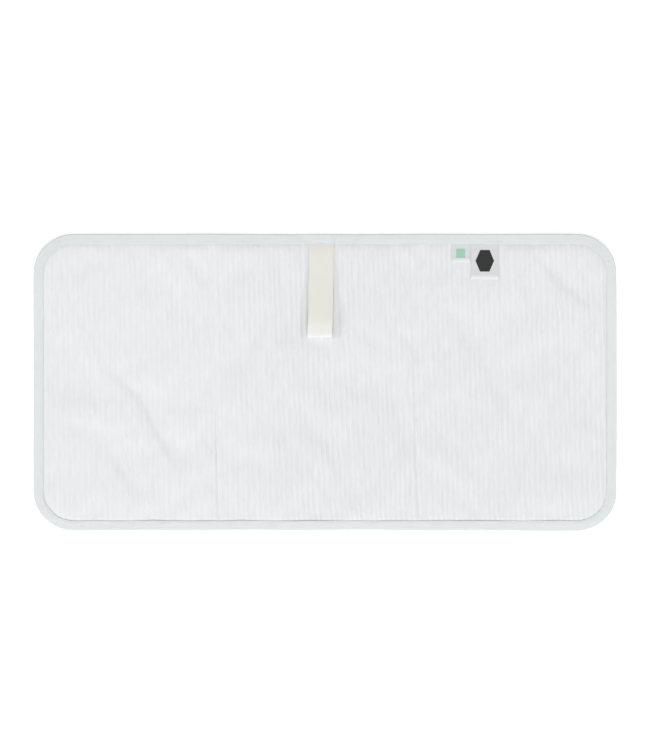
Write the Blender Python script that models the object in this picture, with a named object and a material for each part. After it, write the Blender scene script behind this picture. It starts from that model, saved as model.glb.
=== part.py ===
"""A portable changing pad: a padded mat in three panels, with a bound edge, an elastic closing loop and two labels.

Units are metres and +Z is up. The mat lies open with its soft face up and its backing on z = 0, centred on the origin.
The loop is sewn into the +Y edge of the centre panel and the labels into the +Y edge of the +X panel. Every soft layer
is drawn as a plain closed solid at the thickness it rests at, with a small gap to its neighbours.
"""

import math

import bmesh
import bpy
from mathutils import Matrix, Vector

for item in list(bpy.data.objects):
    bpy.data.objects.remove(item, do_unlink=True)

# Mat outline and folds
MAT_LENGTH = 0.700
MAT_WIDTH = 0.356
CORNER_RADIUS = 0.048
CORNER_STEPS = 12
LEFT_FOLD_X = -0.132
RIGHT_FOLD_X = 0.113
LEFT_FOLD_Z = 0.0104
RIGHT_FOLD_Z = 0.0144
FOLD_GAP = 0.0004
GAP = 0.0003

# Layer heights as (underside, top), in the padded middle and pressed flat inside the binding
BACKING_MIDDLE = (0.0, 0.0004)
BACKING_EDGE = (0.0014, 0.0018)
WADDING_MIDDLE = (0.0007, 0.0041)
WADDING_EDGE = (0.0021, 0.0027)
FACE_MIDDLE = (0.0044, 0.0056)
FACE_EDGE = (0.0030, 0.0042)
RAW_EDGE_INSET = 0.0024
SLOPE_WIDTH = 0.010
SLOPE_STEPS = 4
CREASE_HALF_WIDTH = 0.009
CREASE_SHARE = 0.62

# Binding tape, folded over the raw edges
BINDING_WIDTH = 0.012
BINDING_THICKNESS = 0.0005
BINDING_BOTTOM = 0.0006
BINDING_TOP = 0.0050
BINDING_NOSE = 0.0015
NOSE_STEPS = 8

# Topstitching, 1.5 mm inside the tape's inner edge
STITCH_INSET = 0.0105
THREAD_RADIUS = 0.00015
NEEDLE_THREAD_Z = 0.00545
BOBBIN_THREAD_Z = 0.00015

# Closing loop of flat elastic, folded back on itself
LOOP_X = -0.0050
LOOP_WIDTH = 0.030
LOOP_ROOT_Y = 0.1630
LOOP_LENGTH = 0.111
LOOP_THICKNESS = 0.0013
LOOP_BOTTOM = 0.0059
LOOP_BEND_RADIUS = 0.0038
LOOP_JOINED = 0.006
LOOP_LEAN = -0.013
LEG_STEPS = 10
BEND_STEPS = 14

# Labels, each a folded strip sewn in by one end
LABEL_ROOT_Y = 0.1640
LABEL_THICKNESS = 0.0005
LABEL_BOTTOM = 0.0059
LABEL_AXIS_Z = LABEL_BOTTOM + LABEL_THICKNESS / 2
WOVEN_LABEL_X = (0.1755, 0.2082)
WOVEN_LABEL_LENGTH = 0.0405
WOVEN_LABEL_CURL = 0.0012
CARE_LABEL_X = (0.1517, 0.1737)
CARE_LABEL_LENGTH = 0.0205
CARE_LABEL_CURL = 0.0009
CURL_FROM = 0.0145
CURL_STEPS = 6

# Tails: the sewn-in ends, which lie in pockets pressed into the face under the tape
TAIL_OUTER_Y = 0.1748
TAIL_BEND_Y = 0.1656
TAIL_TOP = 0.0042
TAIL_RISE = 0.0056
LOOP_TAIL_THICKNESS = 0.0005
LABEL_TAIL_THICKNESS = 0.0004
TAIL_RISE_WIDTH = 0.0013

parts = bpy.data.collections.new("changing_pad")
cutters = bpy.data.collections.new("cutters")
bpy.context.scene.collection.children.link(parts)
bpy.context.scene.collection.children.link(cutters)


def material(name, colour, roughness):
    made = bpy.data.materials.new(name)
    made.use_nodes = True
    shader = made.node_tree.nodes["Principled BSDF"]
    shader.inputs["Base Color"].default_value = (*colour, 1.0)
    shader.inputs["Roughness"].default_value = roughness
    made.diffuse_color = (*colour, 1.0)
    return made


def place(name, data, collection=parts):
    """An object for this mesh or curve, in its collection."""
    made = bpy.data.objects.new(name, data)
    collection.objects.link(made)
    return made


def box(name, low, high, collection=cutters):
    """A box between two opposite corners."""
    size = Vector(high) - Vector(low)
    centre = (Vector(high) + Vector(low)) / 2
    bm = bmesh.new()
    bmesh.ops.create_cube(bm, size=1.0, matrix=Matrix.Translation(centre) @ Matrix.Diagonal((*size, 1.0)))
    mesh = bpy.data.meshes.new(name)
    bm.to_mesh(mesh)
    bm.free()
    made = place(name, mesh, collection)
    if collection == cutters:
        made.hide_render = True
        made.display_type = "WIRE"
    return made


def boolean(target, cutter, operation):
    step = target.modifiers.new(cutter.name, "BOOLEAN")
    step.object = cutter
    step.operation = operation
    step.solver = "EXACT"


# ---------------------------------------------------------------- layers


def eased(t):
    return t * t * (3.0 - 2.0 * t)


def level_face(bm, z, upward):
    """The flat face at this height that looks up, or down."""
    flat = [f for f in bm.faces if abs(f.calc_center_median().z - z) < 1e-6 and (f.normal.z > 0.9) == upward]
    return max(flat, key=lambda f: f.calc_area())


def raise_middle(bm, edge_z, middle_z, upward):
    """Keeps the margin under the binding flat, then slopes the rest of this side to its height in the middle."""
    margin = BINDING_WIDTH + GAP - RAW_EDGE_INSET
    bm.normal_update()
    face = level_face(bm, edge_z, upward)
    bmesh.ops.inset_region(bm, faces=[face], thickness=margin, use_even_offset=True)
    before = 0.0
    for step in range(1, SLOPE_STEPS + 1):
        now = eased(step / SLOPE_STEPS)
        lift = (middle_z - edge_z) * (now - before)
        bmesh.ops.inset_region(
            bm,
            faces=[face],
            thickness=SLOPE_WIDTH / SLOPE_STEPS,
            depth=lift if upward else -lift,
            use_even_offset=True,
        )
        before = now


def crease(bm, fold_x, edge_z, upward):
    """Presses this side of a layer part of the way back to its edge height along one fold line."""
    offsets = [-1.0, -0.66, -0.33, 0.0, 0.33, 0.66, 1.0]
    for offset in offsets:
        everything = bm.verts[:] + bm.edges[:] + bm.faces[:]
        bmesh.ops.bisect_plane(
            bm,
            geom=everything,
            dist=1e-7,
            plane_co=(fold_x + offset * CREASE_HALF_WIDTH, 0.0, 0.0),
            plane_no=(1.0, 0.0, 0.0),
        )
    for vert in bm.verts:
        away = abs(vert.co.x - fold_x) / CREASE_HALF_WIDTH
        if away < 1.0 and side_of(vert, upward):
            press = CREASE_SHARE * (1.0 - eased(away))
            vert.co.z = edge_z + (vert.co.z - edge_z) * (1.0 - press)


def side_of(vert, upward):
    """True if this vertex belongs to the side that looks up, or down."""
    leaning = sum(face.normal.z for face in vert.link_faces)
    return leaning > 1e-4 if upward else leaning < -1e-4


def layer_mesh(name, middle, edge, creased):
    """One full-size layer. creased says which sides follow the fold lines down: "top", "bottom" or both."""
    inset = RAW_EDGE_INSET
    size = (MAT_LENGTH - 2 * inset, MAT_WIDTH - 2 * inset, edge[1] - edge[0])
    bm = bmesh.new()
    bmesh.ops.create_cube(
        bm,
        size=1.0,
        matrix=Matrix.Translation((0.0, 0.0, (edge[0] + edge[1]) / 2)) @ Matrix.Diagonal((*size, 1.0)),
    )
    upright = [e for e in bm.edges if abs(e.verts[0].co.z - e.verts[1].co.z) > size[2] / 2]
    bmesh.ops.bevel(
        bm,
        geom=upright,
        offset=CORNER_RADIUS - inset,
        segments=CORNER_STEPS,
        profile=0.5,
        affect="EDGES",
    )
    raise_middle(bm, edge[1], middle[1], True)
    raise_middle(bm, edge[0], middle[0], False)
    for fold_x in (LEFT_FOLD_X, RIGHT_FOLD_X):
        if "top" in creased:
            bm.normal_update()
            crease(bm, fold_x, edge[1], True)
        if "bottom" in creased:
            bm.normal_update()
            crease(bm, fold_x, edge[0], False)
    bmesh.ops.recalc_face_normals(bm, faces=bm.faces[:])
    mesh = bpy.data.meshes.new(name)
    bm.to_mesh(mesh)
    bm.free()
    return mesh


REACH = 0.5
panel_boxes = {
    "left": box("left_panel_space", (-REACH, -REACH, -REACH), (LEFT_FOLD_X - FOLD_GAP / 2, REACH, REACH)),
    "center": box(
        "center_panel_space",
        (LEFT_FOLD_X + FOLD_GAP / 2, -REACH, -REACH),
        (RIGHT_FOLD_X - FOLD_GAP / 2, REACH, REACH),
    ),
    "right": box("right_panel_space", (RIGHT_FOLD_X + FOLD_GAP / 2, -REACH, -REACH), (REACH, REACH, REACH)),
}

layer_kinds = {
    "face": (FACE_MIDDLE, FACE_EDGE, ("top", "bottom"), material("ribbed_cotton", (0.82, 0.83, 0.82), 0.9)),
    "wadding": (WADDING_MIDDLE, WADDING_EDGE, ("top",), material("polyester_wadding", (0.90, 0.90, 0.88), 1.0)),
    "backing": (BACKING_MIDDLE, BACKING_EDGE, (), material("coated_backing", (0.74, 0.76, 0.77), 0.45)),
}

layers = {}
for kind, (middle, edge, creased, look) in layer_kinds.items():
    whole = layer_mesh(kind, middle, edge, creased)
    for panel, space in panel_boxes.items():
        piece = place(f"{kind}_{panel}", whole.copy())
        piece.data.materials.append(look)
        boolean(piece, space, "INTERSECT")
        layers[piece.name] = piece


def tail_pocket(name, x_range, thickness):
    """Clears the face under the tape for one sewn-in end, a gap wider than the end all round."""
    return box(
        name,
        (x_range[0] - GAP, LOOP_ROOT_Y - 2 * GAP, TAIL_TOP - thickness - GAP),
        (x_range[1] + GAP, TAIL_OUTER_Y + GAP, 0.02),
    )


loop_range = (LOOP_X - LOOP_WIDTH / 2, LOOP_X + LOOP_WIDTH / 2)
boolean(layers["face_center"], tail_pocket("loop_pocket", loop_range, LOOP_TAIL_THICKNESS), "DIFFERENCE")
boolean(layers["face_right"], tail_pocket("woven_pocket", WOVEN_LABEL_X, LABEL_TAIL_THICKNESS), "DIFFERENCE")
boolean(layers["face_right"], tail_pocket("care_pocket", CARE_LABEL_X, LABEL_TAIL_THICKNESS), "DIFFERENCE")

# ---------------------------------------------------------------- binding and stitching


def panel_edge(side, inset):
    """Points round one end panel, from the top fold line to the bottom one. side is -1 for left, 1 for right."""
    fold_x = LEFT_FOLD_X - FOLD_GAP / 2 if side < 0 else RIGHT_FOLD_X + FOLD_GAP / 2
    top = MAT_WIDTH / 2 - inset
    radius = CORNER_RADIUS - inset
    centre_x = MAT_LENGTH / 2 - CORNER_RADIUS
    centre_y = MAT_WIDTH / 2 - CORNER_RADIUS
    points = [(fold_x, top)]
    for step in range(CORNER_STEPS + 1):
        turn = math.radians(90.0 * step / CORNER_STEPS)
        points.append((side * (centre_x + radius * math.sin(turn)), centre_y + radius * math.cos(turn)))
    for step in range(CORNER_STEPS + 1):
        turn = math.radians(90.0 * step / CORNER_STEPS)
        points.append((side * (centre_x + radius * math.cos(turn)), -centre_y - radius * math.sin(turn)))
    points.append((fold_x, -top))
    return points


def long_edge(side, inset):
    """Points along the centre panel's edge, from one fold line to the other. side is 1 for +Y, -1 for -Y."""
    ends = (LEFT_FOLD_X + FOLD_GAP / 2, RIGHT_FOLD_X - FOLD_GAP / 2)
    y = side * (MAT_WIDTH / 2 - inset)
    return [(ends[0], y), (ends[1], y)]


def poly_curve(name, points, closed=False, flat=True):
    curve = bpy.data.curves.new(name, "CURVE")
    curve.dimensions = "2D" if flat else "3D"
    add_spline(curve, points, closed)
    return curve


def add_spline(curve, points, closed):
    spline = curve.splines.new("POLY")
    spline.points.add(len(points) - 1)
    for slot, point in zip(spline.points, points):
        z = point[2] if len(point) > 2 else 0.0
        slot.co = (point[0], point[1], z, 1.0)
    spline.use_cyclic_u = closed


def binding_section():
    """The folded tape's cross-section as a closed outline: x inward from the mat's edge, y up."""
    middle_z = (BINDING_BOTTOM + BINDING_TOP) / 2
    half = (BINDING_TOP - BINDING_BOTTOM) / 2
    outline = [(BINDING_WIDTH, BINDING_BOTTOM)]
    for step in range(NOSE_STEPS + 1):
        turn = math.pi * step / NOSE_STEPS
        outline.append((BINDING_NOSE - BINDING_NOSE * math.sin(turn), middle_z - half * math.cos(turn)))
    outline.append((BINDING_WIDTH, BINDING_TOP))
    outline.append((BINDING_WIDTH, BINDING_TOP - BINDING_THICKNESS))
    for step in range(NOSE_STEPS, -1, -1):
        turn = math.pi * step / NOSE_STEPS
        reach = BINDING_NOSE - BINDING_THICKNESS
        height = half - BINDING_THICKNESS
        outline.append((BINDING_NOSE - reach * math.sin(turn), middle_z - height * math.cos(turn)))
    outline.append((BINDING_WIDTH, BINDING_BOTTOM + BINDING_THICKNESS))
    return outline


section = place("binding_section", poly_curve("binding_section", binding_section(), closed=True), cutters)
section.hide_render = True

tape = material("binding_tape", (0.76, 0.79, 0.80), 0.8)
needle_thread = material("needle_thread", (0.80, 0.82, 0.83), 0.6)
bobbin_thread = material("bobbin_thread", (0.70, 0.72, 0.73), 0.6)

# Each path runs so that the mat lies on its right, which is the side the section's x points to.
stretches = {
    "left": lambda inset: panel_edge(-1, inset)[::-1],
    "right": lambda inset: panel_edge(1, inset),
    "top": lambda inset: long_edge(1, inset),
    "bottom": lambda inset: long_edge(-1, inset)[::-1],
}

for stretch, path in stretches.items():
    binding = poly_curve(f"binding_{stretch}", path(0.0))
    binding.bevel_mode = "OBJECT"
    binding.bevel_object = section
    binding.use_fill_caps = True
    binding.materials.append(tape)
    place(binding.name, binding)

    for kind, height, look in (
        ("needle", NEEDLE_THREAD_Z, needle_thread),
        ("bobbin", BOBBIN_THREAD_Z, bobbin_thread),
    ):
        line = [(x, y, height) for x, y in path(STITCH_INSET)]
        thread = poly_curve(f"{kind}_thread_{stretch}", line, flat=False)
        thread.bevel_depth = THREAD_RADIUS
        thread.bevel_resolution = 1
        thread.use_fill_caps = True
        thread.materials.append(look)
        place(thread.name, thread)

# ---------------------------------------------------------------- loop, labels and their tails

# Turns a flat drawing so that its x runs along Y, its y up, and its extrusion along X.
STAND_UP = Matrix(((0, 0, 1, 0), (1, 0, 0, 0), (0, 1, 0, 0), (0, 0, 0, 1)))


def sideways(name, outlines, x_centre, width, look):
    """A strip drawn by its side view: outlines of (y, z), the first the outside and any other a hole."""
    curve = bpy.data.curves.new(name, "CURVE")
    curve.dimensions = "2D"
    curve.fill_mode = "BOTH"
    for outline in outlines:
        add_spline(curve, outline, True)
    curve.extrude = width / 2
    curve.materials.append(look)
    made = place(name, curve)
    made.matrix_world = Matrix.Translation((x_centre, 0.0, 0.0)) @ STAND_UP
    return made


def offset_line(points, distance):
    """A line beside this one, on its left for a positive distance."""
    moved = []
    for i, point in enumerate(points):
        before = points[max(i - 1, 0)]
        after = points[min(i + 1, len(points) - 1)]
        run = Vector((after[0] - before[0], after[1] - before[1])).normalized()
        moved.append((point[0] - run.y * distance, point[1] + run.x * distance))
    return moved


def loop_line():
    """The elastic's middle line in (distance from the root, height): out along the mat, round, and back above."""
    half = LOOP_THICKNESS / 2
    low = LOOP_BOTTOM + half
    high_root = low + LOOP_THICKNESS
    bend_at = LOOP_LENGTH - half - LOOP_BEND_RADIUS
    line = [(bend_at * step / LEG_STEPS, low) for step in range(LEG_STEPS)]
    for step in range(BEND_STEPS + 1):
        turn = math.pi * step / BEND_STEPS
        line.append(
            (
                bend_at + LOOP_BEND_RADIUS * math.sin(turn),
                low + LOOP_BEND_RADIUS - LOOP_BEND_RADIUS * math.cos(turn),
            )
        )
    top = low + 2 * LOOP_BEND_RADIUS
    for step in range(1, LEG_STEPS + 1):
        t = step / LEG_STEPS
        sag = 0.0008 * math.sin(math.pi * t)
        line.append((bend_at * (1.0 - t), top + (high_root - top) * t + sag))
    return line


def loop_outlines():
    line = loop_line()
    outside = offset_line(line, -LOOP_THICKNESS / 2)
    inside = offset_line(line, LOOP_THICKNESS / 2)
    hole = [point for point in inside if point[0] > LOOP_JOINED]
    outside[0] = (0.0, LOOP_BOTTOM)
    outside[-1] = (0.0, LOOP_BOTTOM + 2 * LOOP_THICKNESS)
    return [[(LOOP_ROOT_Y - s, z) for s, z in outline] for outline in (outside, hole)]


elastic = material("cream_elastic", (0.80, 0.79, 0.74), 0.8)
loop = sideways("closure_loop", loop_outlines(), LOOP_X, LOOP_WIDTH, elastic)
lean = Matrix.Identity(4)
lean[0][1] = -LOOP_LEAN
root = Matrix.Translation((0.0, LOOP_ROOT_Y, 0.0))
loop_mesh = bpy.data.meshes.new_from_object(loop)
loop_mesh.transform(root @ lean @ root.inverted() @ loop.matrix_world)
bpy.data.objects.remove(loop)
bm = bmesh.new()
bm.from_mesh(loop_mesh)
bmesh.ops.remove_doubles(bm, verts=bm.verts[:], dist=1e-6)
bm.to_mesh(loop_mesh)
bm.free()
place("closure_loop", loop_mesh)


def label_outline(length, curl):
    """A label's side view: flat from its root, then curling up to its free end."""
    middle = LABEL_BOTTOM + LABEL_THICKNESS / 2
    line = [(0.0, middle)]
    for step in range(CURL_STEPS + 1):
        t = step / CURL_STEPS
        line.append((CURL_FROM + (length - CURL_FROM) * t, middle + curl * t * t))
    above = offset_line(line, LABEL_THICKNESS / 2)
    below = offset_line(line, -LABEL_THICKNESS / 2)
    outline = below + above[::-1]
    return [(LABEL_ROOT_Y - s, z) for s, z in outline]


def tail_outline(thickness):
    """A sewn-in end: flat under the tape, then turned up at the tape's inner edge to just under its strip."""
    low = TAIL_TOP - thickness
    rise_inner = TAIL_BEND_Y - TAIL_RISE_WIDTH
    return [
        (TAIL_OUTER_Y, low),
        (TAIL_OUTER_Y, TAIL_TOP),
        (TAIL_BEND_Y, TAIL_TOP),
        (TAIL_BEND_Y, TAIL_RISE),
        (rise_inner, TAIL_RISE),
        (rise_inner, low),
    ]


def strip(name, outline, x_range, look):
    return sideways(name, [outline], sum(x_range) / 2, x_range[1] - x_range[0], look)


woven = material("woven_label", (0.60, 0.61, 0.62), 0.7)
care = material("care_label", (0.72, 0.74, 0.74), 0.7)
strip("loop_tail", tail_outline(LOOP_TAIL_THICKNESS), loop_range, elastic)
strip("woven_label", label_outline(WOVEN_LABEL_LENGTH, WOVEN_LABEL_CURL), WOVEN_LABEL_X, woven)
strip("woven_label_tail", tail_outline(LABEL_TAIL_THICKNESS), WOVEN_LABEL_X, woven)
strip("care_label", label_outline(CARE_LABEL_LENGTH, CARE_LABEL_CURL), CARE_LABEL_X, care)
strip("care_label_tail", tail_outline(LABEL_TAIL_THICKNESS), CARE_LABEL_X, care)

# ---------------------------------------------------------------- joints

# Each moving group hangs from an empty on its joint's axis.
joint_axes = {
    "left_fold_axis": ((LEFT_FOLD_X, 0.0, LEFT_FOLD_Z), ("left",)),
    "right_fold_axis": ((RIGHT_FOLD_X, 0.0, RIGHT_FOLD_Z), ("right", "woven_label_tail", "care_label_tail")),
    "loop_axis": ((LOOP_X, LOOP_ROOT_Y, LOOP_BOTTOM + LOOP_THICKNESS), ("closure_loop",)),
    "woven_label_axis": ((sum(WOVEN_LABEL_X) / 2, LABEL_ROOT_Y, LABEL_AXIS_Z), ("woven_label",)),
    "care_label_axis": ((sum(CARE_LABEL_X) / 2, LABEL_ROOT_Y, LABEL_AXIS_Z), ("care_label",)),
}

for axis_name, (position, members) in joint_axes.items():
    axis = place(axis_name, None)
    axis.location = position
    axis.empty_display_size = 0.02
    for piece in parts.objects:
        panel = piece.name.rsplit("_", 1)[-1]
        if piece.type != "EMPTY" and (piece.name in members or panel in members):
            piece.parent = axis
            piece.matrix_parent_inverse = Matrix.Translation(position).inverted()

bpy.data.objects["woven_label_axis"].parent = bpy.data.objects["right_fold_axis"]
bpy.data.objects["care_label_axis"].parent = bpy.data.objects["right_fold_axis"]
for axis_name in ("woven_label_axis", "care_label_axis"):
    axis = bpy.data.objects[axis_name]
    axis.matrix_parent_inverse = Matrix.Translation(joint_axes["right_fold_axis"][0]).inverted()
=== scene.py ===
"""The looks of the changing pad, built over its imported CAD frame. Metres, +Z up, the mat face up on z = 0.

The cloth, tape and stitches are made as left and right halves, because each piece bends over one fold only.
"""

import math

import bpy
import numpy as np
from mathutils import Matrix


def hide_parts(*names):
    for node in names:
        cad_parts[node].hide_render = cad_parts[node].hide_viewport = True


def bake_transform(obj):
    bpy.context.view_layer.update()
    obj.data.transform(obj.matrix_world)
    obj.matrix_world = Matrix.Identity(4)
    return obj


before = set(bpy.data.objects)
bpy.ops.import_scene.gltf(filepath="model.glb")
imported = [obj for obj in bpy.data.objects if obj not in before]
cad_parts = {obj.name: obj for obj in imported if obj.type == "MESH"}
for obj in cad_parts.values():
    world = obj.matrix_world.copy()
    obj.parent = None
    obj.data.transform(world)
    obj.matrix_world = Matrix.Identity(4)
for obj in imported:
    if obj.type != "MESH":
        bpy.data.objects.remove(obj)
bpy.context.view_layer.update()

# ---------------------------------------------------------------- sizes, as in the CAD

LENGTH, WIDTH, CORNER = 0.700, 0.356, 0.048
LEFT_FOLD, RIGHT_FOLD = -0.132, 0.113
TAPE = 0.012
STITCH_INSET = 0.0105
STITCH_PITCH = 0.0030
RIB_PITCH = 0.00626
LOOP_X, LOOP_HALF = -0.0050, 0.0148
# The y from which the loop's and the labels' side views are measured
LOOP_ROOT, LABEL_ROOT = 0.1630, 0.1640
WOVEN_X = (0.1755, 0.2082)
CARE_X = (0.1517, 0.1737)
WOVEN_LENGTH, CARE_LENGTH = 0.0405, 0.0205
LABEL_TAIL = 0.0080
LABEL_THICKNESS = 0.00042
MM = 0.001


def ease(t):
    """A smooth step: 0 up to t = 0, 1 from t = 1."""
    t = np.clip(t, 0.0, 1.0)
    return t * t * (3.0 - 2.0 * t)


def bell(away, half_width):
    """A smooth bump: 1 at 0, and small beyond twice the half-width."""
    return np.exp(-((away / half_width) ** 2))


def shoulder(distance, run, power):
    """How full a padded layer is this far from its seam: 0 to 1, steep at first, then level."""
    return 1.0 - (1.0 - np.clip(distance / run, 0.0, 1.0)) ** power


def inset_of(x, y):
    """How far inside the mat's outer edge a point is."""
    qx = np.abs(x) - (LENGTH / 2 - CORNER)
    qy = np.abs(y) - (WIDTH / 2 - CORNER)
    outside = np.hypot(np.maximum(qx, 0.0), np.maximum(qy, 0.0))
    return CORNER - outside - np.minimum(np.maximum(qx, qy), 0.0)


class Waves:
    """A smooth wandering field, about -1 to 1: a fixed sum of plane waves between two lengths."""

    def __init__(self, seed, shortest, longest, count=24, stretch=1.0):
        draw = np.random.default_rng(seed)
        turn = draw.uniform(0.0, 2.0 * math.pi, count)
        number = 2.0 * math.pi / draw.uniform(shortest, longest, count)
        self.kx = number * np.cos(turn)
        self.ky = number * np.sin(turn) / stretch
        self.phase = draw.uniform(0.0, 2.0 * math.pi, count)
        self.size = math.sqrt(2.0 / count) * 0.6

    def __call__(self, x, y):
        total = np.zeros(np.broadcast(x, y).shape)
        for kx, ky, phase in zip(self.kx, self.ky, self.phase):
            total += np.sin(kx * x + ky * y + phase)
        return total * self.size


# ---------------------------------------------------------------- the padded face's height


def near_line(x, y, line):
    """Distance to a polyline, above 0 on its left, and the nearest point's place along it, from 0 to 1."""
    best = np.full(np.broadcast(x, y).shape, np.inf)
    along = np.zeros(best.shape)
    points = np.array(line)
    lengths = np.hypot(*np.diff(points, axis=0).T)
    total = lengths.sum()
    start = 0.0
    for (ax, ay), (bx, by), run in zip(points[:-1], points[1:], lengths):
        t = np.clip(((x - ax) * (bx - ax) + (y - ay) * (by - ay)) / run**2, 0.0, 1.0)
        away = np.hypot(x - ax - t * (bx - ax), y - ay - t * (by - ay))
        on_left = (bx - ax) * (y - ay) > (by - ay) * (x - ax)
        closer = away < np.abs(best)
        best = np.where(closer, np.where(on_left, away, -away), best)
        along = np.where(closer, (start + t * run) / total, along)
        start += run
    return best, along


# Soft wrinkles: the line each follows, its height in millimetres (below 0 a hollow) and its half-width. It
# falls away more gently on the line's left than on its right, and fades out at both ends.
GENTLE_SIDE = 2.4
FADING_SHARE = 0.25
WRINKLES = (
    (((-0.262, 0.022), (-0.222, -0.016), (-0.196, -0.062), (-0.164, -0.118)), -1.10, 0.0075),
    (((-0.257, -0.072), (-0.248, -0.099), (-0.234, -0.114), (-0.212, -0.147)), -0.95, 0.0075),
    (((-0.332, -0.030), (-0.240, -0.052)), 0.35, 0.0100),
    (((-0.006, -0.050), (0.020, -0.105), (0.043, -0.161)), -0.60, 0.0075),
    (((0.006, 0.014), (0.054, -0.022)), -0.55, 0.0080),
    (((0.078, 0.000), (0.090, -0.045), (0.103, -0.095)), -0.65, 0.0065),
    (((0.098, 0.062), (0.112, 0.020)), -0.60, 0.0060),
    (((0.150, 0.098), (0.200, 0.018), (0.229, -0.040), (0.211, -0.143)), -0.80, 0.0110),
    (((0.258, 0.154), (0.284, 0.122), (0.330, 0.088)), -1.15, 0.0075),
    (((-0.322, 0.120), (-0.262, 0.154)), -0.30, 0.0100),
    (((-0.166, 0.160), (-0.158, 0.142), (-0.142, 0.112)), -0.70, 0.0060),
    (((-0.070, 0.060), (-0.110, -0.060)), 0.25, 0.0120),
)


# Half the face's width between its stitches, over which the creases' slopes are given
FACE_HALF = 0.165


def left_crease(y):
    """Where the left fold's crease runs: a straight line, a little off square."""
    return LEFT_FOLD + 0.0005 - 0.0045 * y / FACE_HALF


def right_crease(y):
    """Where the right fold's crease runs: a shallow bow."""
    return RIGHT_FOLD - 0.0045 + 0.0060 * (y / FACE_HALF) ** 2


def wrinkles(x, y):
    """The height that the soft wrinkles add."""
    total = np.zeros(np.broadcast(x, y).shape)
    for line, height, half_width in WRINKLES:
        away, along = near_line(x, y, line)
        ends = ease(along / FADING_SHARE) * ease((1.0 - along) / FADING_SHARE)
        width = half_width * np.where(away > 0.0, GENTLE_SIDE, 1.0)
        total += height * MM * ends * bell(away, width)
    return total


def from_crease(x, y):
    """Distance across the mat to the nearer crease."""
    return np.minimum(np.abs(x - left_crease(y)), np.abs(x - right_crease(y)))


# The depth and half-width of a crease's groove and of its valley, and of the wadding's dip below
GROOVE_DEPTH, GROOVE_HALF = 1.60 * MM, 0.0019
VALLEY_DEPTH, VALLEY_HALF = 0.50 * MM, 0.0090
WADDING_DIP, WADDING_DIP_HALF = 0.9 * MM, 0.005


def creases(x, y):
    """The pressed fold lines: a pinched groove, sharper towards the -Y edge, in a wide shallow valley."""
    left_sharp = 0.15 + 0.75 * ease(-y / 0.05)
    right_sharp = 0.40 + 0.35 * ease((0.03 - y) / 0.06)
    total = np.zeros(np.broadcast(x, y).shape)
    for middle, sharp in ((left_crease(y), left_sharp), (right_crease(y), right_sharp)):
        total -= GROOVE_DEPTH * sharp * bell(x - middle, GROOVE_HALF)
        total -= VALLEY_DEPTH * bell(x - middle, VALLEY_HALF)
    return total


def crease_room(x, y):
    """How much lower the wadding lies under the creases, so that the groove never meets it."""
    return WADDING_DIP * bell(from_crease(x, y), WADDING_DIP_HALF)


# The face's slow swells and its smaller dimples
swell = Waves(3, 0.060, 0.150, stretch=1.6)
dimple = Waves(5, 0.022, 0.050, stretch=1.8)
FACE_UNDER_TAPE = 3.80 * MM
FACE_LOW = 4.50 * MM
FACE_HIGH = 5.25 * MM
# How far in from the mat's edge the face, then its wrinkles, start to rise from under the tape, and the run
RISE_INSET, RISE_RUN = 0.0101, 0.0028
SOFT_INSET, SOFT_RUN = 0.0100, 0.0115
# How far in from the tape the padding is at full height, and how much farther at the -Y edge
PUFF_RUN, PUFF_EXTRA_RUN, PUFF_POWER = 0.0165, 0.0185, 2.6
SWELL, DIMPLE = 0.30 * MM, 0.12 * MM


def pressed(x, y):
    """From 1 under the loop and the labels, which lie on the face and keep it flat, to 0 clear of them."""
    total = np.zeros(np.broadcast(x, y).shape)
    for low_x, high_x, low_y in (
        (LOOP_X - LOOP_HALF - 0.001, LOOP_X + LOOP_HALF, 0.0510),
        (WOVEN_X[0], WOVEN_X[1], 0.1250),
        (CARE_X[0], CARE_X[1], 0.1450),
    ):
        away = np.maximum(np.maximum(low_x - x, x - high_x), low_y - y)
        total = np.maximum(total, 1.0 - ease((away + 0.001) / 0.012))
    return total


def face_shape(x, y):
    """The face's height without ribs: tucked under the tape, then puffed up by the wadding."""
    inset = inset_of(x, y)
    run = PUFF_RUN + PUFF_EXTRA_RUN * ease(-y / 0.10)
    puff = shoulder(inset - TAPE, run, PUFF_POWER)
    flat = pressed(x, y)
    puff = puff * (1.0 - 0.5 * flat * (1.0 - ease((inset - 0.016) / 0.012)))
    base = FACE_UNDER_TAPE + (FACE_LOW - FACE_UNDER_TAPE) * ease((inset - RISE_INSET) / RISE_RUN)
    base = base + (FACE_HIGH - FACE_LOW) * puff
    soft = wrinkles(x, y) + SWELL * swell(x, y) + DIMPLE * dimple(x, y)
    soft = np.where(soft > 0.0, soft * (1.0 - flat), soft * (1.0 - 0.6 * flat))
    return base + (soft + creases(x, y)) * ease((inset - SOFT_INSET) / SOFT_RUN)


# ---------------------------------------------------------------- cloth simulation of the face

CLOTH_STEP = 0.005
CLOTH_FRAMES = 16
CLOTH_SPARE = 0.006
CLOTH_CAP = 0.7 * MM
CLOTH_SHARE = 0.55


def grid_cells(rows, columns):
    """The four corners' numbers of each cell in a grid of points."""
    index = np.arange(rows * columns).reshape(rows, columns)
    return np.stack([index[:-1, :-1], index[:-1, 1:], index[1:, 1:], index[1:, :-1]], axis=-1)


def grid_mesh(name, points, keep=None, uv=None):
    """A mesh from a grid of points. keep says which faces stay, uv where each point is on the cloth."""
    cells = grid_cells(points.shape[0], points.shape[1])
    quads = cells.reshape(-1, 4) if keep is None else cells[keep]
    return mesh_of(name, points.reshape(-1, 3), quads, None if uv is None else uv.reshape(-1, 2))


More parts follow.
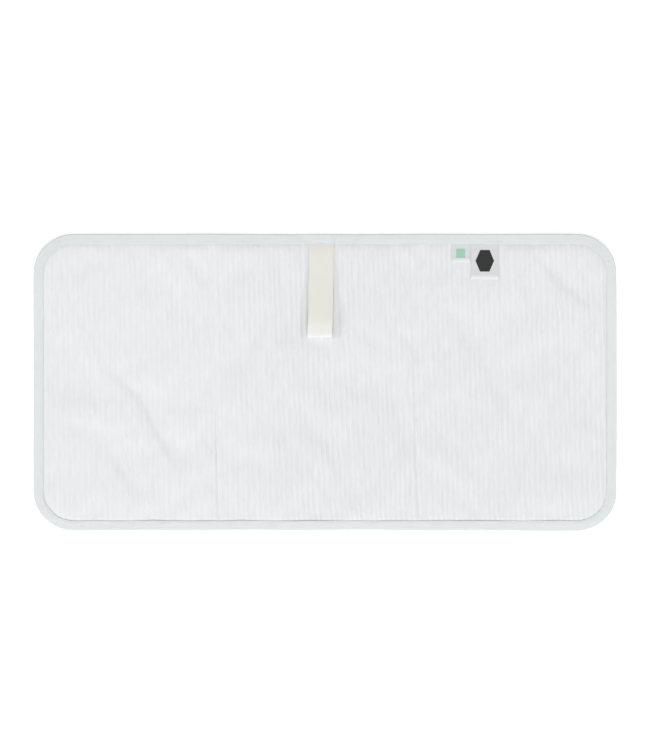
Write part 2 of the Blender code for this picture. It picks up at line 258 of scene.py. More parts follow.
def mesh_of(name, vertices, quads, uv=None):
    """A smooth-shaded mesh object in the scene from these faces, without the vertices that none uses."""
    used, inverse = np.unique(quads, return_inverse=True)
    vertices = vertices[used]
    quads = inverse.reshape(-1, quads.shape[1])
    mesh = bpy.data.meshes.new(name)
    mesh.vertices.add(len(vertices))
    mesh.vertices.foreach_set("co", vertices.astype(np.float32).reshape(-1))
    mesh.loops.add(quads.size)
    mesh.loops.foreach_set("vertex_index", quads.reshape(-1).astype(np.int32))
    mesh.polygons.add(len(quads))
    mesh.polygons.foreach_set("loop_start", np.arange(0, quads.size, quads.shape[1], dtype=np.int32))
    mesh.update(calc_edges=True)
    mesh.polygons.foreach_set("use_smooth", np.ones(len(quads), bool))
    if uv is not None:
        layer = mesh.uv_layers.new(name="cloth")
        layer.data.foreach_set("uv", uv[used][quads.reshape(-1)].astype(np.float32).reshape(-1))
    mesh.validate()
    made = bpy.data.objects.new(name, mesh)
    bpy.context.scene.collection.objects.link(made)
    return made


def smoothed(field):
    """Each value of a grid averaged with its four neighbours."""
    padded = np.pad(field, 1, mode="edge")
    beside = padded[:-2, 1:-1] + padded[2:, 1:-1] + padded[1:-1, :-2] + padded[1:-1, 2:]
    return (beside + 4.0 * field) / 8.0


def simulated_puckers():
    """The face's height changes as a cloth a little larger than its frame, held at the tape and creases."""
    # The grid ends a little inside the mat's edge, where the tape covers it
    xs = np.arange(-LENGTH / 2 + 0.0075, LENGTH / 2 - 0.007, CLOTH_STEP)
    ys = np.arange(-WIDTH / 2 + 0.0080, WIDTH / 2 - 0.007, CLOTH_STEP)
    x, y = np.meshgrid(xs, ys)
    z = face_shape(x, y)
    cloth = grid_mesh("face_drape", np.stack([x, y, z], axis=-1))
    held = cloth.vertex_groups.new(name="held")
    fixed = (inset_of(x, y) < TAPE + 0.001) | (from_crease(x, y) < 0.6 * CLOTH_STEP)
    held.add(np.flatnonzero(fixed.reshape(-1)).tolist(), 1.0, "REPLACE")
    step = cloth.modifiers.new("cloth", "CLOTH")
    step.settings.vertex_group_mass = "held"
    step.settings.quality = 6
    step.settings.mass = 0.05
    step.settings.tension_stiffness = 12.0
    step.settings.compression_stiffness = 12.0
    step.settings.shear_stiffness = 6.0
    step.settings.bending_stiffness = 0.4
    step.settings.shrink_min = -CLOTH_SPARE
    step.settings.use_pressure = True
    step.settings.uniform_pressure_force = 0.12
    step.settings.effector_weights.gravity = 0.0
    step.collision_settings.use_collision = False
    step.point_cache.frame_start = 1
    step.point_cache.frame_end = CLOTH_FRAMES
    for number in range(1, CLOTH_FRAMES + 1):
        bpy.context.scene.frame_set(number)
    shown = cloth.evaluated_get(bpy.context.evaluated_depsgraph_get())
    after = np.zeros(len(shown.data.vertices) * 3, np.float32)
    shown.data.vertices.foreach_get("co", after)
    lift = after.reshape(z.shape + (3,))[..., 2] - z
    bpy.data.objects.remove(cloth)
    bpy.context.scene.frame_set(1)
    lift = CLOTH_SHARE * CLOTH_CAP * np.tanh(lift / CLOTH_CAP)
    return xs, ys, smoothed(smoothed(lift))


drape_x, drape_y, drape = simulated_puckers()


def puckers(x, y):
    """The simulated lift at any point, between the simulated cloth's own points."""
    i = np.clip((x - drape_x[0]) / CLOTH_STEP, 0.0, len(drape_x) - 1.001)
    j = np.clip((y - drape_y[0]) / CLOTH_STEP, 0.0, len(drape_y) - 1.001)
    i0, j0 = i.astype(int), j.astype(int)
    u, v = ease(i - i0), ease(j - j0)
    low = drape[j0, i0] * (1 - u) + drape[j0, i0 + 1] * u
    high = drape[j0 + 1, i0] * (1 - u) + drape[j0 + 1, i0 + 1] * u
    return low * (1 - v) + high * v


def face_height(x, y):
    """The face's height without ribs, puckers included."""
    lift = puckers(x, y)
    return face_shape(x, y) + np.where(lift > 0.0, lift * (1.0 - pressed(x, y)), lift)


# ---------------------------------------------------------------- materials


class Nodes:
    """Builds a node material: each call adds one node and links or sets its inputs."""

    def __init__(self, name, colour, roughness):
        self.material = bpy.data.materials.new(name)
        self.material.use_nodes = True
        self.tree = self.material.node_tree
        self.shader = self.tree.nodes["Principled BSDF"]
        self.shader.inputs["Roughness"].default_value = roughness
        self.shader.inputs["Base Color"].default_value = (*colour, 1.0)
        self.material.diffuse_color = (*colour, 1.0)
        uv = self.tree.nodes.new("ShaderNodeUVMap")
        uv.uv_map = "cloth"
        self.uv = uv.outputs["UV"]
        split = self.tree.nodes.new("ShaderNodeSeparateXYZ")
        self.tree.links.new(self.uv, split.inputs[0])
        self.across, self.along = split.outputs["X"], split.outputs["Y"]

    def math(self, operation, a, b=0.0):
        """One operation on two numbers or sockets."""
        node = self.tree.nodes.new("ShaderNodeMath")
        node.operation = operation
        for socket, value in zip(node.inputs, (a, b)):
            if isinstance(value, (int, float)):
                socket.default_value = value
            else:
                self.tree.links.new(value, socket)
        return node.outputs[0]

    def wave(self, coordinate, pitch, phase=0.0):
        """A sine along one coordinate, with this pitch in metres."""
        turned = self.math("MULTIPLY", coordinate, 2.0 * math.pi / pitch)
        return self.math("SINE", self.math("ADD", turned, phase))

    def noise(self, scale, detail, stretch=(1.0, 1.0)):
        """Noise over the cloth's own coordinates, finer across and along by the two stretches."""
        place = self.tree.nodes.new("ShaderNodeMapping")
        place.inputs["Scale"].default_value = (stretch[0], stretch[1], 1.0)
        self.tree.links.new(self.uv, place.inputs["Vector"])
        node = self.tree.nodes.new("ShaderNodeTexNoise")
        node.inputs["Scale"].default_value = scale
        node.inputs["Detail"].default_value = detail
        self.tree.links.new(place.outputs["Vector"], node.inputs["Vector"])
        return node.outputs[0]

    def ramp(self, value, dark, light, low=0.3, high=0.7):
        """A colour from dark, where the value is at low, to light, where it is at high."""
        node = self.tree.nodes.new("ShaderNodeValToRGB")
        node.color_ramp.elements[0].position = low
        node.color_ramp.elements[0].color = (*dark, 1.0)
        node.color_ramp.elements[1].position = high
        node.color_ramp.elements[1].color = (*light, 1.0)
        self.tree.links.new(value, node.inputs[0])
        return node.outputs[0]

    def rise(self, value, start, end, low, high):
        """From low where the value is at start to high where it is at end, and held beyond them."""
        node = self.tree.nodes.new("ShaderNodeMapRange")
        for name, number in (("From Min", start), ("From Max", end), ("To Min", low), ("To Max", high)):
            node.inputs[name].default_value = number
        self.tree.links.new(value, node.inputs["Value"])
        return node.outputs[0]

    def colour(self, value):
        """Links the shader's colour."""
        self.tree.links.new(value, self.shader.inputs["Base Color"])

    def roughness(self, value, low, high):
        """Sets the shader's roughness, from low where the value is 0 to high where it is 1."""
        self.tree.links.new(self.rise(value, 0.0, 1.0, low, high), self.shader.inputs["Roughness"])

    def bump(self, heights):
        """Each height is (value, depth in metres), laid one over the other."""
        before = None
        for value, depth in heights:
            node = self.tree.nodes.new("ShaderNodeBump")
            node.inputs["Distance"].default_value = depth
            node.inputs["Strength"].default_value = 1.0
            self.tree.links.new(value, node.inputs["Height"])
            if before is not None:
                self.tree.links.new(before, node.inputs["Normal"])
            before = node.outputs[0]
        self.tree.links.new(before, self.shader.inputs["Normal"])


def shade(colour, factor):
    """A colour made lighter or darker."""
    return tuple(min(1.0, c * factor) for c in colour)


def cloth_material(name, colour, warp, weft, roughness, mottle, depth=0.00006):
    """A woven cloth: threads crossing at these pitches, with uneven yarn and a little change of colour."""
    n = Nodes(name, colour, roughness)
    weave = n.math("MULTIPLY", n.wave(n.across, warp), n.wave(n.along, weft))
    fine = n.noise(900.0, 3.0)
    broad = n.noise(45.0, 3.0)
    mixed = n.math("ADD", n.math("MULTIPLY", fine, 0.6), n.math("MULTIPLY", broad, 0.4))
    n.colour(n.ramp(mixed, shade(colour, 1.0 - mottle), shade(colour, 1.0 + mottle)))
    n.roughness(fine, roughness - 0.06, roughness + 0.06)
    n.bump([(broad, 0.0003), (fine, 0.00012), (weave, depth)])
    return n.material


def satin_material(name, colour, length):
    """A label's satin ribbon, with a painted highlight that makes its folded free end nearly white, and paler
    where it leaves the seam.
    """
    n = Nodes(name, colour, 0.6)
    weave = n.math("MULTIPLY", n.wave(n.across, 0.00040), n.wave(n.along, 0.00045))
    broad = n.noise(60.0, 3.0)
    # Painted highlight: the folded free end, which catches the light, tinted nearly white
    fold = n.rise(n.along, length - 0.0034, length - 0.0024, 0.0, 1.0)
    root = n.rise(n.along, 0.0100, 0.0130, 1.0, 0.0)
    tone = n.math("ADD", n.math("MULTIPLY", broad, 0.25), n.math("ADD", fold, root))
    n.colour(n.ramp(tone, shade(colour, 0.98), (0.665, 0.670, 0.675), 0.05, 1.0))
    n.roughness(broad, 0.54, 0.66)
    n.bump([(broad, 0.0002), (weave, 0.00003)])
    return n.material


def elastic_material(name, colour, crease_wear_and_lit_bend):
    """Flat woven elastic, with a paler tint painted where it turns back on itself at the loop's round end: a
    painted highlight for the light that end catches.
    """
    n = Nodes(name, colour, 0.84)
    weave = n.math("MULTIPLY", n.wave(n.across, 0.00150), n.wave(n.along, 0.00080))
    fine = n.noise(900.0, 3.0)
    broad = n.noise(45.0, 3.0)
    # Painted highlight: the loop's round end tinted paler, for the light it catches
    onto_bend = n.rise(n.along, 0.105, 0.112, 0.0, 1.0)
    off_bend = n.rise(n.along, 0.125, 0.136, 1.0, 0.0)
    bend = n.math("MULTIPLY", onto_bend, off_bend)
    tone = n.math("ADD", n.math("MULTIPLY", broad, 0.15), bend)
    n.colour(n.ramp(tone, colour, crease_wear_and_lit_bend, 0.08, 1.0))
    n.roughness(fine, 0.78, 0.90)
    n.bump([(broad, 0.0003), (fine, 0.00012), (weave, 0.00008)])
    return n.material


def ribbed_cotton():
    """A fine knit with painted shade: its ribs painted a little lighter than the bands between, with uneven
    yarn along each rib.
    """
    colour = (0.725, 0.739, 0.747)
    n = Nodes("ribbed_cotton_knit", colour, 0.92)
    rib = n.wave(n.across, RIB_PITCH, -math.pi / 2)
    streak = n.noise(260.0, 2.0, (0.75, 0.20))
    yarn = n.noise(260.0, 3.0, (3.0, 0.16))
    fine = n.noise(1100.0, 3.0, (1.0, 0.4))
    broad = n.noise(16.0, 3.0)
    # Painted shade: each rib lighter and the band between darker, fainter on the left panel
    painted_rib_shade = n.math("MULTIPLY", rib, n.rise(n.across, -0.14, -0.09, 0.112, 0.182))
    mottle = n.math("ADD", n.math("MULTIPLY", yarn, 0.22), n.math("MULTIPLY", broad, 0.10))
    mottle = n.math("ADD", mottle, n.math("MULTIPLY", streak, 0.80))
    # The cotton made lighter towards the left, from x = -0.05 to its fullest at x = -0.14 and beyond
    lighter_left = n.math("ADD", mottle, n.rise(n.across, -0.14, -0.05, 0.16, 0.0))
    tone = n.math("ADD", painted_rib_shade, lighter_left)
    n.colour(n.ramp(tone, shade(colour, 0.95), shade(colour, 1.05), 0.18, 1.02))
    n.roughness(fine, 0.86, 0.98)
    knit = n.math("MULTIPLY", n.wave(n.across, 0.00078), n.wave(n.along, 0.00110))
    n.bump([(yarn, 0.00022), (fine, 0.00010), (knit, 0.00006)])
    n.shader.inputs["Sheen Weight"].default_value = 0.10
    n.shader.inputs["Sheen Roughness"].default_value = 0.5
    return n.material


cotton = ribbed_cotton()
tape_cloth = cloth_material("bias_tape_cotton", (0.712, 0.744, 0.757), 0.00050, 0.00050, 0.86, 0.02)
backing_cloth = cloth_material("coated_backing_cloth", (0.640, 0.665, 0.680), 0.00062, 0.00062, 0.48, 0.02)
fill = cloth_material("polyester_wadding_fibre", (0.80, 0.80, 0.79), 0.0030, 0.0037, 0.95, 0.03, 0.0003)
THREAD_TWIST = (0.00035, 0.00060, 0.70, 0.03, 0.00004)
thread = cloth_material("stitching_thread", (0.67, 0.70, 0.72), *THREAD_TWIST)
lower_thread = cloth_material("bobbin_stitching_thread", (0.52, 0.54, 0.56), *THREAD_TWIST)
elastic = elastic_material("cream_woven_elastic", (0.755, 0.748, 0.698), (0.712, 0.721, 0.704))
label_satin = satin_material("woven_label_satin", (0.640, 0.646, 0.656), WOVEN_LENGTH + LABEL_TAIL)
care_satin = satin_material("care_label_satin", (0.645, 0.668, 0.682), CARE_LENGTH + LABEL_TAIL)
MARK_WEAVE = (0.00040, 0.00045, 0.65, 0.05, 0.00004)
dark_yarn = cloth_material("woven_mark_dark", (0.012, 0.012, 0.013), *MARK_WEAVE)
green_yarn = cloth_material("woven_mark_green", (0.345, 0.57, 0.43), *MARK_WEAVE)

# ---------------------------------------------------------------- face, backing and wadding


def snapped(x, y, inset):
    """Points outside the outline at this inset, moved back onto it."""
    radius = CORNER - inset
    cx = np.clip(x, -(LENGTH / 2 - CORNER), LENGTH / 2 - CORNER)
    cy = np.clip(y, -(WIDTH / 2 - CORNER), WIDTH / 2 - CORNER)
    dx, dy = x - cx, y - cy
    away = np.hypot(dx, dy)
    share = np.where(away > radius, radius / np.maximum(away, 1e-9), 1.0)
    return cx + dx * share, cy + dy * share


def kept_cells(x, y, inset):
    """Which cells of a grid have a corner inside the outline at this inset."""
    inside = inset_of(x, y) >= inset
    return inside[:-1, :-1] | inside[:-1, 1:] | inside[1:, 1:] | inside[1:, :-1]


def half_grid(side, inset, step_x, step_y):
    """The rest positions of one half's grid, trimmed to the mat's outline at this inset."""
    across = LENGTH / 2 - inset
    down = WIDTH / 2 - inset
    xs = np.arange(0.0, across + step_x, step_x) * side
    ys = np.linspace(-down, down, int(round(2 * down / step_y)) + 1)
    x, y = np.meshgrid(np.sort(xs), ys)
    cells = kept_cells(x, y, inset)
    x, y = snapped(x, y, inset)
    return x, y, cells


# How far in from the mat's edge each layer ends, under the tape, and how fine its grid is
CLOTH_INSET, WADDING_INSET = 0.0055, 0.0060
FACE_STEP, LAYER_STEP = 0.0022, 0.0030

RIB_COLUMNS = 10
RIB_HEIGHT, RIB_HALF = 0.58 * MM, 0.00115
BAND_DIP, BAND_MIDDLE, BAND_HALF = 0.12, 0.0031, 0.0010
RIB_WANDER, RIB_JITTER = 0.60 * MM, 0.28 * MM
rib_wander = Waves(11, 0.080, 0.200, stretch=2.2)
rib_jitter = Waves(31, 0.012, 0.035, count=40, stretch=6.0)
rib_uneven = Waves(13, 0.010, 0.040, count=48, stretch=2.0)


def rib_profile(x):
    """A narrow raised rib in the middle of each pitch and a wide band between, dipped in its middle."""
    part = np.abs(x / RIB_PITCH - np.floor(x / RIB_PITCH) - 0.5) * RIB_PITCH
    return bell(part, RIB_HALF) - BAND_DIP * bell(part - BAND_MIDDLE, BAND_HALF)


def rib_place(x, y):
    """Where a point lies across the ribs, which wander and lean a little, more in the lower middle."""
    lean = 0.015 + 0.011 * ease((x + 0.20) / 0.18)
    extra = 0.018 * bell(x - 0.010, 0.075) * (y - 0.040) * ease((0.060 - y) / 0.050)
    return x + lean * y + extra + RIB_WANDER * rib_wander(x, y) + RIB_JITTER * rib_jitter(x, y)


def rib_height(x, y, across):
    """The ribs' own height: lower on the left and at the creases, and pressed under the loop and labels."""
    inside = ease((inset_of(x, y) - TAPE) / 0.0028)
    flatter = 1.0 - 0.45 * ease((-x - 0.06) / 0.06)
    uneven = np.clip(0.80 + 0.40 * rib_uneven(x, y), 0.15, 1.50)
    # Ribs worn lower along the creases
    crease_wear_and_lit_bend = 1.0 - 0.45 * bell(from_crease(x, y), 0.004)
    pushed = 1.0 - 0.8 * pressed(x, y)
    return RIB_HEIGHT * flatter * uneven * crease_wear_and_lit_bend * pushed * inside * rib_profile(across)


def face_half(side, name):
    """Half of the ribbed face, on a grid that has ten columns to each rib."""
    x, y, cells = half_grid(side, CLOTH_INSET, RIB_PITCH / RIB_COLUMNS, FACE_STEP)
    across = rib_place(x, y)
    z = face_height(x, y) + rib_height(x, y, across)
    made = grid_mesh(name, np.stack([x, y, z], axis=-1), cells, np.stack([across, y], axis=-1))
    made.data.materials.append(cotton)
    return made


BACK_LOW, BACK_UNDER_TAPE = 0.20 * MM, 1.60 * MM
BACK_PUFF_START, BACK_PUFF_RUN, BACK_PUFF_POWER = 0.0025, 0.0115, 2.4
BACK_WAVE = 0.16 * MM
BACK_FOLD, BACK_FOLD_HALF = 0.35 * MM, 0.005
back_waves = Waves(17, 0.030, 0.090)


def back_height(x, y):
    """The backing's height: down from under the tape, nearly flat, and a little raised along both folds."""
    inset = inset_of(x, y)
    puff = shoulder(inset - TAPE - BACK_PUFF_START, BACK_PUFF_RUN, BACK_PUFF_POWER)
    wave = BACK_WAVE * (back_waves(x, y) + 1.0) * ease((inset - 0.014) / 0.02)
    fold = bell(x - LEFT_FOLD, BACK_FOLD_HALF) + bell(x - RIGHT_FOLD, BACK_FOLD_HALF)
    return BACK_UNDER_TAPE + (BACK_LOW - BACK_UNDER_TAPE) * puff + wave + BACK_FOLD * fold


def backing_half(side, name):
    """Half of the backing, facing down."""
    x, y, cells = half_grid(side, CLOTH_INSET, LAYER_STEP, LAYER_STEP)
    points = np.stack([x, y, back_height(x, y)], axis=-1)[::-1]
    made = grid_mesh(name, points, cells[::-1], np.stack([x, y], axis=-1)[::-1])
    made.data.materials.append(backing_cloth)
    return made


WADDING_BELOW_FACE, WADDING_ABOVE_BACK = 1.00 * MM, 0.50 * MM
WADDING_LEAST_HALF = 0.10 * MM


def rim_walls(quads, offset):
    """The faces that join a sheet's rim to the same sheet below, whose points come this much later."""
    edges = np.concatenate([quads[:, [k, (k + 1) % 4]] for k in range(4)])
    _, first, count = np.unique(np.sort(edges, axis=1), axis=0, return_index=True, return_counts=True)
    rim = edges[first[count == 1]]
    return np.stack([rim[:, 1], rim[:, 0], rim[:, 0] + offset, rim[:, 1] + offset], axis=-1)


def wadding_half(side, name):
    """A closed pad between the face and the backing, drawn in at its edge."""
    x, y, cells = half_grid(side, WADDING_INSET, LAYER_STEP, LAYER_STEP)
    inset = inset_of(x, y)
    top = face_height(x, y) - WADDING_BELOW_FACE - crease_room(x, y)
    low = back_height(x, y) + WADDING_ABOVE_BACK
    middle = (top + low) / 2
    half = np.maximum((top - low) / 2, WADDING_LEAST_HALF) * ease((inset - 0.0058) / 0.004)
    half = np.where(inset < WADDING_INSET + 0.0001, 0.0, half)
    upper = np.stack([x, y, middle + half], axis=-1)
    lower = np.stack([x, y, middle - half], axis=-1)
    quads = grid_cells(x.shape[0], x.shape[1])[cells]
    faces = np.concatenate([quads, quads[:, ::-1] + x.size, rim_walls(quads, x.size)])
    vertices = np.concatenate([upper.reshape(-1, 3), lower.reshape(-1, 3)])
    uv = np.tile(np.stack([x, y], axis=-1).reshape(-1, 2), (2, 1))
    made = mesh_of(name, vertices, faces, uv)
    made.data.materials.append(fill)
    return made


# ---------------------------------------------------------------- tape and stitches

STRAIGHT = LENGTH / 2 - CORNER
SIDE_RUN = WIDTH - 2 * CORNER


def edge_length(inset):
    """How long one half's edge is, at this inset."""
    return 2 * STRAIGHT + SIDE_RUN + math.pi * (CORNER - inset)


def edge_point(s, inset, side):
    """The point and normal this far along one half's edge, from the middle of +Y to the middle of -Y."""
    arc = math.pi / 2 * (CORNER - inset)
    marks = np.cumsum([STRAIGHT, arc, SIDE_RUN, arc])
    turn = np.clip((s - marks[0]) / arc, 0.0, 1.0) + np.clip((s - marks[2]) / arc, 0.0, 1.0)
    turn = turn * math.pi / 2
    before = np.minimum(s, marks[0])
    after = np.maximum(s - marks[3], 0.0)
    down = np.clip(s - marks[1], 0.0, SIDE_RUN)
    normal_x, normal_y = np.sin(turn), np.cos(turn)
    x = before - after + (CORNER - inset) * normal_x
    y = WIDTH / 2 - CORNER - down + (CORNER - inset) * normal_y
    return side * x, y, side * normal_x, normal_y


# Where ends are sewn in under the +Y edge's tape: from and to which x, and how far they lift it
SEWN_IN = (
    (LOOP_X - LOOP_HALF, LOOP_X + LOOP_HALF, 1.05 * MM),
    (WOVEN_X[0], WOVEN_X[1], 0.50 * MM),
    (CARE_X[0], CARE_X[1], 0.50 * MM),
)


def tail_bump(x, y):
    """How much the tape rides up over the loop's and labels' sewn-in ends."""
    total = np.zeros(np.broadcast(x, y).shape)
    for low, high, height in SEWN_IN:
        away = np.maximum(low - x, x - high)
        total += height * (1.0 - ease((away + 0.001) / 0.005))
    return np.where(y > 0.15, total, 0.0)


def tape_section():
    """The folded tape's outline as (inset, height): underside, outer edge, top, and back along its inside."""
    wide, seam, middle = TAPE / MM, STITCH_INSET / MM, 2.8
    points = []
    for u in np.linspace(wide, 1.8, 9):
        points.append((u, 0.62 + 0.30 * bell(u - seam, 0.9) - 0.02 * math.sin(u)))
    for k in range(1, 10):
        turn = math.pi * k / 10
        height = 2.2 if k < 5 else 1.98
        points.append((1.1 - 1.1 * math.sin(turn), middle - height * math.cos(turn)))
    top = []
    for u in (1.5, 2.6, 3.7, 4.8, 5.8, 6.8, 7.8, 8.7, 9.4, 10.0, 10.5, 11.0, 11.4, 11.75):
        slope = 0.28 * ease((u - 1.0) / 9.0)
        pinch = 0.08 * bell(u - seam, 0.75)
        droop = 0.03 * ease((u - 10.8) / 1.2)
        top.append((u, 4.74 + slope - pinch - droop))
    points += top
    points += [(12.0, 4.85), (12.07, 4.78), (12.0, 4.71)]
    for u, z in reversed(top):
        points.append((u, z - 0.46 + 0.24 * ease((u - 10.6) / 1.4)))
    for k in range(9, 0, -1):
        turn = math.pi * k / 10
        points.append((1.4 - 0.9 * math.sin(turn), middle - 1.7 * math.cos(turn)))
    for u in np.linspace(1.8, wide, 9):
        points.append((u, 1.10 + 0.22 * bell(u - seam, 0.9)))
    return np.array(points) * MM


edge_waves = Waves(19, 0.110, 0.300)
lip_waves = Waves(23, 0.012, 0.040)
tape_waves = Waves(29, 0.015, 0.060)
STITCHES = round(edge_length(STITCH_INSET) / STITCH_PITCH)
TAPE_RINGS = 1100
# How far the outer edge and the lip wander sideways, and how far each stitch draws the lip in
EDGE_WANDER, LIP_WANDER, LIP_SCALLOP = 0.55 * MM, 0.28 * MM, 0.12 * MM
# How far the tape rises and falls: anywhere, in a corner's puckers, at each stitch and at a crease
TAPE_WAVE, CORNER_PUCKER, STITCH_PULL, CREASE_DENT = 0.16 * MM, 0.11 * MM, 0.08 * MM, 0.18 * MM
PUCKER_PITCH = 0.0092
DENT_HALF = 0.0035


def corner_share(x, y):
    """1 on the rounded corners, 0 along the straight edges."""
    past_x = np.abs(x) - (LENGTH / 2 - CORNER)
    past_y = np.abs(y) - (WIDTH / 2 - CORNER)
    return ease((past_x + 0.004) / 0.012) * ease((past_y + 0.004) / 0.012)


def edge_slack(x, y):
    """How far the mat's edge bows out along the -Y side, near its +X end."""
    return 0.0016 * bell(x - 0.285, 0.070) * ease((-0.12 - y) / 0.04)


def tape_half(side, name):
    """Half of the binding: its section swept round the edge, uneven, and drawn down at each stitch."""
    section = tape_section()
    inset, height = section[:, 0], section[:, 1]
    s = np.linspace(0.0, edge_length(0.0), TAPE_RINGS)
    x, y, nx, ny = (v[:, None] for v in edge_point(s, 0.0, side))
    stitch_phase = (s / s[-1] * STITCHES * 2.0 * math.pi)[:, None]
    pucker = np.sin(s * 2.0 * math.pi / PUCKER_PITCH)[:, None] + 1.0

    top = ease((height - 2.6 * MM) / (1.6 * MM))
    inner = ease((inset - 9.5 * MM) / (2.2 * MM))
    outer = 1.0 - ease(inset / (7.0 * MM))
    on_line = bell(inset - STITCH_INSET, 0.0011)
    over_pad = ease((inset - 4.0 * MM) / (6.0 * MM))

    shift = (EDGE_WANDER * edge_waves(x, y) - edge_slack(x, y)) * outer
    shift = shift + LIP_WANDER * lip_waves(x, y) * inner
    inward = inset + shift + LIP_SCALLOP * inner * np.cos(stitch_phase)
    px, py = x - nx * inward, y - ny * inward
    soft = TAPE_WAVE * tape_waves(px, py) * (1.0 - on_line)
    soft = np.where(soft < 0.0, soft * (1.0 - 0.9 * inner), soft)
    soft = soft + CORNER_PUCKER * corner_share(x, y) * pucker * over_pad
    soft = soft - STITCH_PULL * on_line * np.cos(stitch_phase)
    dent = bell(px - left_crease(py), DENT_HALF) + bell(px - right_crease(py), DENT_HALF)
    raised = soft + tail_bump(px, py) - CREASE_DENT * dent
    pz = height + top * raised + (1.0 - top) * np.abs(soft) * 0.5

    points = np.stack([px, py, pz], axis=-1)
    points = np.concatenate([points, points[:, :1]], axis=1)
    around = np.hypot(np.diff(inset, append=inset[0]), np.diff(height, append=height[0]))
    around = np.concatenate([[0.0], np.cumsum(around)])
    uv = np.stack(np.meshgrid(around, s), axis=-1)
    if side > 0:
        points, uv = points[:, ::-1], uv[:, ::-1]
    made = grid_mesh(name, points, uv=uv)
    made.data.materials.append(tape_cloth)
    return made


STITCH_HALF = 1.18 * MM
STITCH_SLANT = 0.12 * MM
STITCH_RADIUS = 0.21 * MM
STITCH_RINGS, STITCH_SPOKES = 7, 8
# The height of a stitch's ends, and how far its middle arches away from them
UPPER_STITCH, UPPER_ARCH = 4.76 * MM, 0.26 * MM
LOWER_STITCH, LOWER_ARCH = 0.98 * MM, -0.34 * MM


def stitch_row(side, name, upper):
    """Separate stitches along the tape, each an arched bead of thread that dips in at both ends."""
    starts = (np.arange(STITCHES) + 0.5) / STITCHES * edge_length(STITCH_INSET)
    t = np.linspace(-1.0, 1.0, STITCH_RINGS)
    turn = np.linspace(0.0, 2.0 * math.pi, STITCH_SPOKES, endpoint=False)
    s = starts[:, None] + t * STITCH_HALF
    x, y, nx, ny = edge_point(s, STITCH_INSET, side)
    x, y = x - nx * STITCH_SLANT * t, y - ny * STITCH_SLANT * t
    arch = 1.0 - t**2
    if upper:
        lift = tail_bump(x, y) + UPPER_STITCH + UPPER_ARCH * arch
    else:
        lift = np.zeros(x.shape) + LOWER_STITCH + LOWER_ARCH * arch
    radius = STITCH_RADIUS * (0.35 + 0.65 * np.sqrt(arch))[:, None]
    out = np.cos(turn) * radius
    px = x[..., None] + nx[..., None] * out
    py = y[..., None] + ny[..., None] * out
    pz = lift[..., None] + np.sin(turn) * radius
    points = np.stack([px, py, pz], axis=-1)
    index = np.arange(points[..., 0].size).reshape(points.shape[:3])
    turned = np.roll(index, -1, axis=2)
    sides = np.stack([index[:, :-1], turned[:, :-1], turned[:, 1:], index[:, 1:]], axis=-1).reshape(-1, 4)
    ends = []
    for a in range(STITCH_SPOKES // 2 - 1):
        b = STITCH_SPOKES - 1 - a
        ends.append(index[:, 0][:, [a, b, b - 1, a + 1]])
        ends.append(index[:, -1][:, [a + 1, b - 1, b, a]])
    quads = np.concatenate([sides] + ends)
    if side < 0:
        quads = quads[:, ::-1]
    around = np.broadcast_to(turn * STITCH_RADIUS, index.shape)
    along = np.broadcast_to(s[..., None], index.shape)
    uv = np.stack([around, along], axis=-1).reshape(-1, 2)
    made = mesh_of(name, points.reshape(-1, 3), quads, uv)
    made.data.materials.append(thread if upper else lower_thread)
    return made


# ---------------------------------------------------------------- loop and labels

# How square a strap's edges are: the higher, the less of its width is rounded
EDGE_POWER = 10


def lengths_along(line):
    """How far along a line each of its points is."""
    return np.concatenate([[0.0], np.cumsum(np.hypot(*np.diff(line, axis=0).T))])


def strap(name, line, half_width, thickness, x_of, look, columns):
    """A flat strap swept along a side view of (y, z), with rounded edges. x_of gives its middle's x."""
    run = np.gradient(line, axis=0)
    run /= np.hypot(run[:, 0], run[:, 1])[:, None]
    normal = np.stack([-run[:, 1], run[:, 0]], axis=-1)
    along = lengths_along(line)
    across = np.sin(np.linspace(-math.pi / 2, math.pi / 2, columns))
    round_edge = np.sqrt(np.clip(1.0 - np.abs(across) ** EDGE_POWER, 0.04, 1.0))
    sides = []
    for sign in (1.0, -1.0):
        offset = sign * thickness[:, None] / 2 * round_edge
        y = line[:, :1] + normal[:, :1] * offset
        z = line[:, 1:] + normal[:, 1:] * offset
        x = x_of(y, along[:, None]) + across * half_width
        sides.append(np.stack([x, y, z], axis=-1))
    ring = np.concatenate([sides[0], sides[1][:, ::-1]], axis=1)
    flat = np.concatenate([across, across[::-1]]) * half_width
    uv = np.stack(np.meshgrid(flat, along), axis=-1)
    index = np.arange(ring[..., 0].size).reshape(ring.shape[:2])
    turned = np.roll(index, -1, axis=1)
    quads = np.stack([index[:-1], turned[:-1], turned[1:], index[1:]], axis=-1).reshape(-1, 4)
    k = np.arange(columns - 1)
    first, last = index[0], index[-1]
    start_cap = np.stack([first[k + 1], first[k], first[-1 - k], first[-2 - k]], axis=-1)
    end_cap = np.stack([last[k], last[k + 1], last[-2 - k], last[-1 - k]], axis=-1)
    quads = np.concatenate([quads, start_cap, end_cap])
    made = mesh_of(name, ring.reshape(-1, 3), quads, uv.reshape(-1, 2))
    made.data.materials.append(look)
    return made


def smooth_line(points, count):
    """Evenly spaced points on a Catmull-Rom curve through these."""
    p = np.array(points, float)
    p = np.concatenate([[2 * p[0] - p[1]], p, [2 * p[-1] - p[-2]]])
    out = []
    for a, b, c, d in zip(p[:-3], p[1:-2], p[2:-1], p[3:]):
        t = np.linspace(0.0, 1.0, 40, endpoint=False)[:, None]
        square = (2 * a - 5 * b + 4 * c - d) * t**2
        cube = (3 * b - a - 3 * c + d) * t**3
        out.append(0.5 * (2 * b + (c - a) * t + square + cube))
    out = np.concatenate(out + [p[-2:-1]])
    along = lengths_along(out)
    at = np.linspace(0.0, along[-1], count)
    return np.stack([np.interp(at, along, out[:, k]) for k in range(2)], axis=-1)


